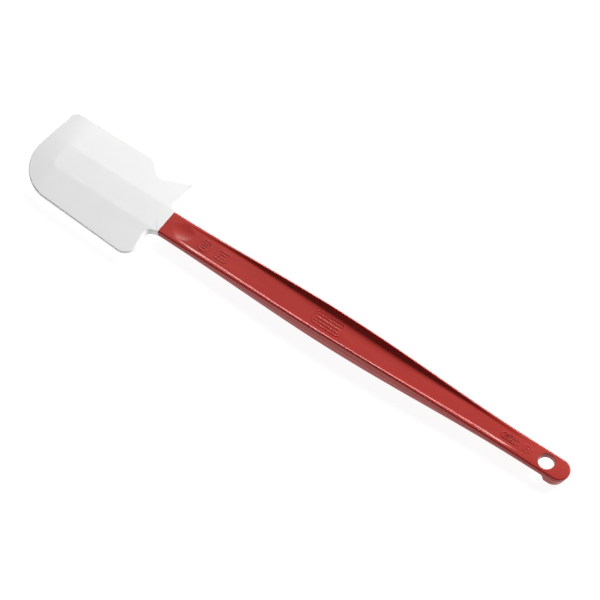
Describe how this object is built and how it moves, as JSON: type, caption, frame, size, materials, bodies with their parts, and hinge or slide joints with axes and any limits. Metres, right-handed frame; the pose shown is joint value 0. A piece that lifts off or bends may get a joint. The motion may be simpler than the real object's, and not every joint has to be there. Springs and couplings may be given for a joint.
{
  "type": "silicone bowl scraper",
  "caption": "Long hand scraper: flat flexible silicone blade with a pointed horn and a notch, moulded over the tang of a rimmed plastic handle with a hanging hole.",
  "frame": {"origin": "under the middle of the object's box, on the plane through the lowest face of the hanging-end foot", "axes": "+X along the handle from the blade to the hanging end; +Y across the blade towards its pointed horn; +Z out of the marked upper face"},
  "size_m": [0.419, 0.0692, 0.0153],
  "materials": {
    "handle_nylon": "red glass-filled nylon, moulded satin gloss",
    "blade_silicone": "white silicone rubber, smooth and slightly matt"
  },
  "bodies": {
    "root": {"handle": "handle_nylon", "blade": "blade_silicone"}
  },
  "joints": []
}
